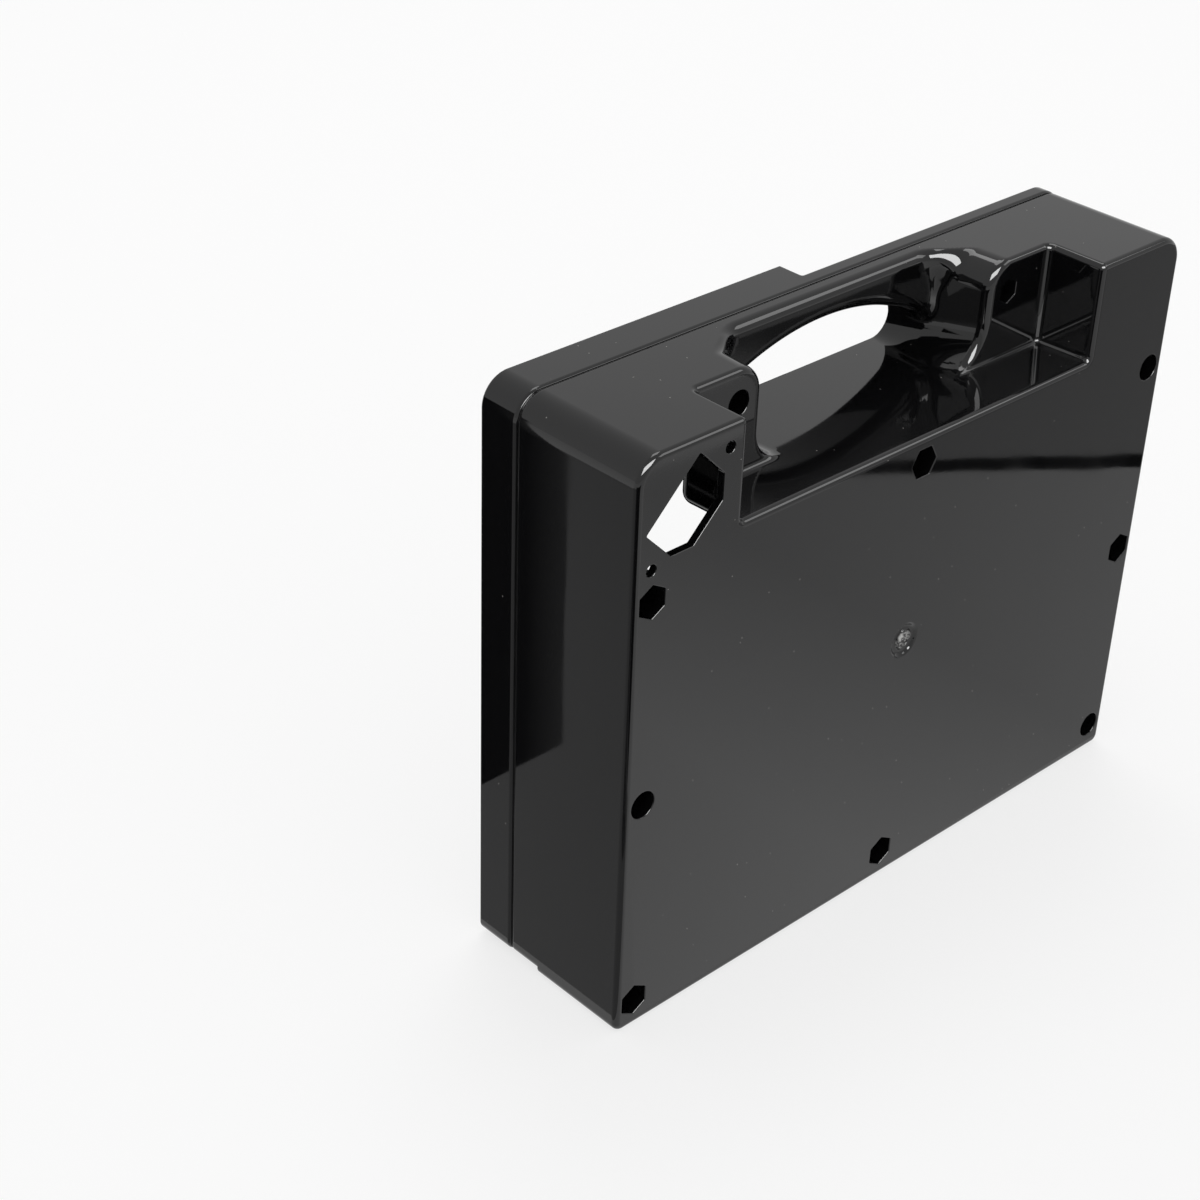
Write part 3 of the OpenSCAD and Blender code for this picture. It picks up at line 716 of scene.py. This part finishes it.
def moulded_abs():
    """ABS, injection moulded in a polished mould and dyed black: a clear hard gloss in which the studio shows
    sharp, a slight wave of the walls from shrinking, a breath of handling haze and a little dust."""
    m = bpy.data.materials.new("abs_polished_mould")
    m.use_nodes = True
    t = m.node_tree
    t.nodes.clear()
    place = node(t, "ShaderNodeTexCoord").outputs["Object"]
    # Shrink marks, some 45 mm apart: they bend straight reflections a little
    wave = node(t, "ShaderNodeTexNoise", Vector=place, Scale=1 / 0.045, Detail=1.0, Roughness=0.4)
    # Skin of the mould, drawn at 0.8 mm so that it shows
    skin = node(t, "ShaderNodeTexNoise", Vector=place, Scale=1 / 0.0008, Detail=2.0, Roughness=0.6)
    bump = node(t, "ShaderNodeBump", Strength=0.1, Distance=0.001, Height=wave.outputs["Fac"])
    bump = node(t, "ShaderNodeBump", Strength=0.03, Distance=0.00005, Height=skin.outputs["Fac"],
                Normal=bump.outputs["Normal"])
    # Haze of handling, in patches of about 25 mm
    haze = node(t, "ShaderNodeTexNoise", Vector=place, Scale=1 / 0.025, Detail=4.0, Roughness=0.6)
    rough = ramp(t, haze.outputs["Fac"], 0.35, 0.7, 0.03, 0.07)
    # Dust: the surface cuts a grain of up to 0.5 mm in a few of the cells, which are 5 mm wide
    cells = node(t, "ShaderNodeTexVoronoi", Vector=place, Scale=1 / 0.005)
    grain = calc(t, "LESS_THAN", cells.outputs["Distance"], 0.042)
    pick = node(t, "ShaderNodeSeparateColor", Color=cells.outputs["Color"])
    some = calc(t, "GREATER_THAN", pick.outputs["Red"], 0.45)
    colour = node(t, "ShaderNodeMix", {"data_type": "RGBA"}, Factor=calc(t, "MULTIPLY", grain, some))
    colour.inputs[6].default_value = linear("#0c0c0d")
    colour.inputs[7].default_value = linear("#7d7b78")
    # Plastic torn white at the gate: within 3.4 mm of its middle, on the outer side only, in grains of 1.2 mm
    flat = node(t, "ShaderNodeVectorMath", {"operation": "MULTIPLY"}, _0=place, _1=(1, 0, 1))
    off = node(t, "ShaderNodeVectorMath", {"operation": "DISTANCE"}, _0=flat.outputs["Vector"],
               _1=(GATE[0] / 1000, 0, GATE[1] / 1000))
    close = ramp(t, off.outputs["Value"], 0.0026, 0.0034, 1.0, 0.0)
    depth = node(t, "ShaderNodeSeparateXYZ", Vector=place)
    front = calc(t, "LESS_THAN", depth.outputs["Y"], (FACE + 1.5) / 1000)
    torn = node(t, "ShaderNodeTexNoise", Vector=place, Scale=1 / 0.0012, Detail=2.0, Roughness=0.5)
    torn = ramp(t, torn.outputs["Fac"], 0.45, 0.62, 0.0, 0.7)
    # Painted highlight: the brightest part, up and to the left of the middle, is painted white
    side = node(t, "ShaderNodeVectorMath", {"operation": "DISTANCE"}, _0=flat.outputs["Vector"],
                _1=(GATE[0] / 1000 - 0.0013, 0, GATE[1] / 1000 + 0.0013))
    side = ramp(t, side.outputs["Value"], 0.001, 0.0018, 1.0, 0.0)
    torn = calc(t, "MAXIMUM", torn, side)
    # The torn grains are the plastic's own whitening; the patch up and to the left lays a painted highlight
    # over them
    white = calc(t, "MULTIPLY", calc(t, "MULTIPLY", close, front), torn)
    skinned = node(t, "ShaderNodeMix", {"data_type": "RGBA"}, Factor=white)
    t.links.new(colour.outputs[2], skinned.inputs[6])
    skinned.inputs[7].default_value = linear("#b8b8b6")
    shader = node(t, "ShaderNodeBsdfPrincipled", Base_Color=skinned.outputs[2], Roughness=rough, IOR=1.5,
                  Normal=bump.outputs["Normal"])
    node(t, "ShaderNodeOutputMaterial", Surface=shader.outputs["BSDF"])
    m.diffuse_color = linear("#101011")
    return m


def studio_paper():
    """Matt white paper. What looks straight at it or sees it in gloss gets most of its white and part of the
    shadow on it."""
    m = bpy.data.materials.new("studio_paper")
    m.use_nodes = True
    t = m.node_tree
    t.nodes.clear()
    path = node(t, "ShaderNodeLightPath")
    seen = path.outputs["Is Camera Ray"]
    for kind in ("Is Glossy Ray", "Is Transmission Ray"):
        seen = calc(t, "MAXIMUM", seen, path.outputs[kind])
    share = calc(t, "MULTIPLY", seen, 0.72)
    matt = node(t, "ShaderNodeBsdfDiffuse", Color=linear("#f7f7f7"))
    white = node(t, "ShaderNodeEmission", Color=linear("#ffffff"), Strength=1.0)
    both = node(t, "ShaderNodeMixShader", _0=share, _1=matt.outputs["BSDF"], _2=white.outputs["Emission"])
    node(t, "ShaderNodeOutputMaterial", Surface=both.outputs["Shader"])
    return m


def painted_reflection_card(name, colour, other=None, span=(0, 1)):
    """Glowing sheet for a painted reflection, seen only in gloss: one colour, or passing to another between
    two places along x.
    """
    m = bpy.data.materials.new(name)
    m.use_nodes = True
    t = m.node_tree
    t.nodes.clear()
    place = node(t, "ShaderNodeSeparateXYZ", Vector=node(t, "ShaderNodeTexCoord").outputs["Object"])
    share = ramp(t, place.outputs["X"], span[0], span[1], 0.0, 1.0)
    tone = node(t, "ShaderNodeMix", {"data_type": "RGBA"}, Factor=share)
    tone.inputs[6].default_value = linear(colour)
    tone.inputs[7].default_value = linear(other or colour)
    glow = node(t, "ShaderNodeEmission", Color=tone.outputs[2], Strength=1.0)
    node(t, "ShaderNodeOutputMaterial", Surface=glow.outputs["Emission"])
    return m


def sheet(name, corners, material):
    """Flat stage piece with four corners."""
    mesh = bpy.data.meshes.new(name)
    mesh.from_pydata([tuple(c) for c in corners], [], [(0, 1, 2, 3)])
    mesh.materials.append(material)
    made = bpy.data.objects.new(name, mesh)
    bpy.context.scene.collection.objects.link(made)
    return made


def stage():
    """Pale floor, and glowing cards that only the gloss sees: painted reflections of darker things round a
    studio table."""
    w = 6
    sheet("studio_floor", [(-w, -w, 0), (w, -w, 0), (w, w, 0), (-w, w, 0)], studio_paper())
    black, grey = painted_reflection_card("painted_reflection_black", "#101010"), painted_reflection_card("painted_reflection_grey", "#a6a6a6")
    # Painted reflection: a dark strip and a grey sheet on the table in front give the closed face its dark
    # band
    start, along, out = np.array([0.208, -0.214, 0.001]), np.array([0.8, 0.6, 0]), np.array([0.6, -0.8, 0])
    strip_wide, side_wide, back_off, length = 0.012, 0.6, 0.015, 0.9
    cards = []
    for name, near, wide, material in (("painted_reflection_strip", 0.0, strip_wide, black),
                                       ("painted_reflection_side", strip_wide, side_wide, grey)):
        a, b = start - back_off * along + near * out, start + length * along + near * out
        cards.append(sheet(name, [a, b, b + wide * out, a + wide * out], material))
    # Painted reflection: two upright sheets behind, as high as the case
    behind = painted_reflection_card("painted_reflection_behind", "#5a5a5a", "#101010", (-0.206, -0.190))
    y, top = 0.091, 0.2
    for name, low, high in (("painted_reflection_back_left", -0.208, -0.14), ("painted_reflection_back_right", -0.085, 0.065)):
        cards.append(sheet(name, [(low, y, 0), (high, y, 0), (high, y, top), (low, y, top)], behind))
    # Painted reflection: a black wedge, a pale table and a grey sheet on the floor in front and on the left
    cards.append(sheet("painted_reflection_front", [(-0.149, -0.122, 0.001), (-0.398, -0.888, 0.001), (-1.0, -0.219, 0.001),
                                      (-0.213, -0.052, 0.001)], black))
    cards.append(sheet("painted_reflection_table", [(-0.11, -0.034, 0.0005), (0.12, -0.28, 0.0005), (0.6, -0.28, 0.0005),
                                      (0.6, -0.034, 0.0005)],
                       painted_reflection_card("painted_reflection_pale", "#f4f4f4", "#cfcfcf", (0.0, 0.12))))
    cards.append(sheet("painted_reflection_left", [(-0.7, -0.15, 0.001), (-0.124, -0.15, 0.001), (-0.124, 0.3, 0.001),
                                     (-0.7, 0.3, 0.001)], grey))
    # Painted reflections: the sheets are hidden from the camera, from diffuse light and from shadows
    for card in cards:
        card.visible_camera = False
        card.visible_diffuse = False
        card.visible_shadow = False
        card.visible_transmission = False


def camera():
    """Camera worked out from the straight edges of the case: place, turn and angle of view."""
    az, el, roll = np.radians(-43.618), np.radians(32.113), np.radians(1.932)
    focal, picture = 2379.655, 1200
    eye = np.array([-0.50206, -0.42003, 0.49828])
    forward = np.array([-np.sin(az) * np.cos(el), np.cos(az) * np.cos(el), -np.sin(el)])
    right = np.array([np.cos(az), np.sin(az), 0])
    up = np.cross(right, forward)
    r = np.cos(roll) * right + np.sin(roll) * up
    u = -np.sin(roll) * right + np.cos(roll) * up
    data = bpy.data.cameras.new("camera")
    data.sensor_width = 36.0
    data.lens = focal / picture * data.sensor_width
    data.clip_start, data.clip_end = 0.02, 60
    cam = bpy.data.objects.new("camera", data)
    m = np.eye(4)
    m[:3, 0], m[:3, 1], m[:3, 2], m[:3, 3] = r, u, -forward, eye
    cam.matrix_world = Matrix(m.tolist())
    bpy.context.scene.collection.objects.link(cam)
    bpy.context.scene.camera = cam


def softbox(name, place, aim, size, level, only_gloss=False):
    """Area lamp that looks at a point; level is how bright its face is, white paper being 1."""
    data = bpy.data.lights.new(name, "AREA")
    data.shape = "RECTANGLE"
    data.size, data.size_y = size
    data.energy = level * 4 * size[0] * size[1]
    lamp = bpy.data.objects.new(name, data)
    lamp.location = place
    lamp.rotation_euler = (Vector(aim) - Vector(place)).to_track_quat("-Z", "Y").to_euler()
    lamp.visible_camera = False
    lamp.visible_diffuse = not only_gloss
    bpy.context.scene.collection.objects.link(lamp)


def lights():
    """Pale surround, a softbox above, and two beside the camera that only the gloss of the rounded edges
    sees."""
    world = bpy.data.worlds.new("studio")
    bpy.context.scene.world = world
    world.use_nodes = True
    t = world.node_tree
    t.nodes.clear()
    back = node(t, "ShaderNodeBackground", Color=linear("#ffffff"), Strength=0.76)
    node(t, "ShaderNodeOutputWorld", Surface=back.outputs["Background"])
    softbox("softbox_front", (-0.48, -0.83, 0.99), (0, 0, 0.15), (1.3, 0.7), 12.0, True)
    softbox("softbox_right", (0.82, -0.77, 1.05), (0, 0, 0.15), (0.8, 0.5), 2.2, True)
    softbox("softbox_top", (0.5, 0.6, 1.9), (0, 0, 0.1), (0.9, 0.9), 2.5)


piece = housing()
piece.data.materials.append(moulded_abs())
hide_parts("housing_half")
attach(piece, "root")
stage()
camera()
lights()
bpy.context.scene.view_settings.view_transform = "Standard"
